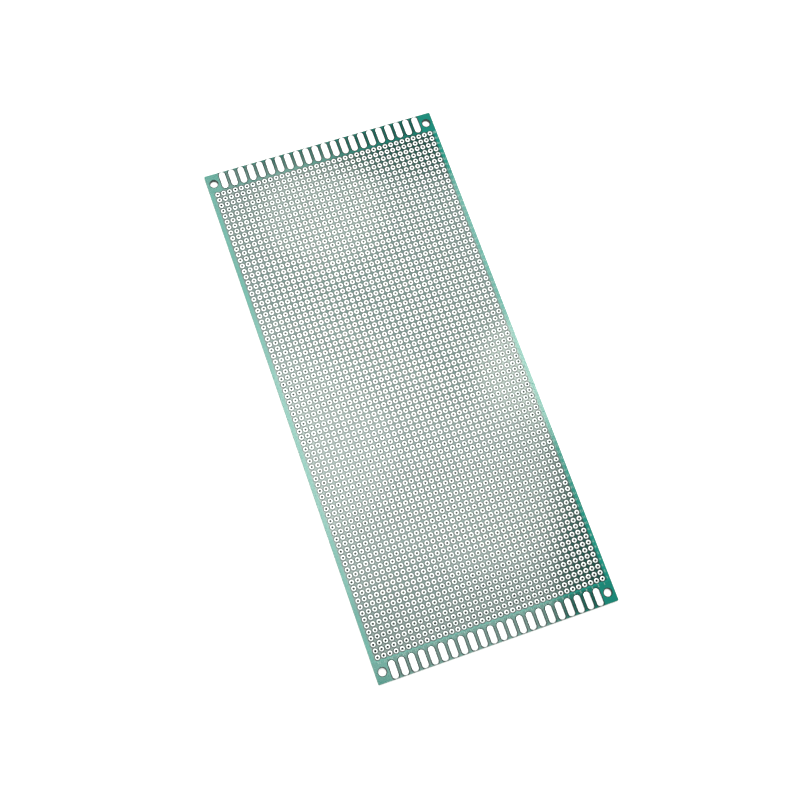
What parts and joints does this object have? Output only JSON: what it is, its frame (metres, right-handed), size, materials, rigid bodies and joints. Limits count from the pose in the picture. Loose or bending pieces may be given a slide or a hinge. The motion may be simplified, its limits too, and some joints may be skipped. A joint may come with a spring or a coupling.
{
  "type": "bare circuit board",
  "caption": "Bare double-sided prototyping board: green coated panel with a full square grid of tinned plated holes, a row of long lands at each end and plain corner mounting holes.",
  "frame": {"origin": "centre of the board's footprint at the level of the back lands' crests, on which the board rests", "axes": "+Y along the board, +X across it, +Z out of the front face"},
  "size_m": [0.1, 0.22, 0.0018],
  "materials": {
    "coated_laminate": "glossy green coating over glass-epoxy laminate",
    "tinned_copper": "bright tin over copper, smooth and slightly domed"
  },
  "bodies": {
    "root": {"panel": "coated_laminate", "plated_holes_1": "tinned_copper", "plated_holes_2": "tinned_copper", "plated_holes_3": "tinned_copper", "plated_holes_4": "tinned_copper", "plated_holes_5": "tinned_copper", "plated_holes_6": "tinned_copper", "plated_holes_7": "tinned_copper", "plated_holes_8": "tinned_copper", "plated_holes_9": "tinned_copper", "plated_holes_10": "tinned_copper", "plated_holes_11": "tinned_copper", "plated_holes_12": "tinned_copper", "plated_holes_13": "tinned_copper", "plated_holes_14": "tinned_copper", "plated_holes_15": "tinned_copper", "front_lands_near": "tinned_copper", "front_lands_far": "tinned_copper", "back_lands_near": "tinned_copper", "back_lands_far": "tinned_copper"}
  },
  "joints": []
}
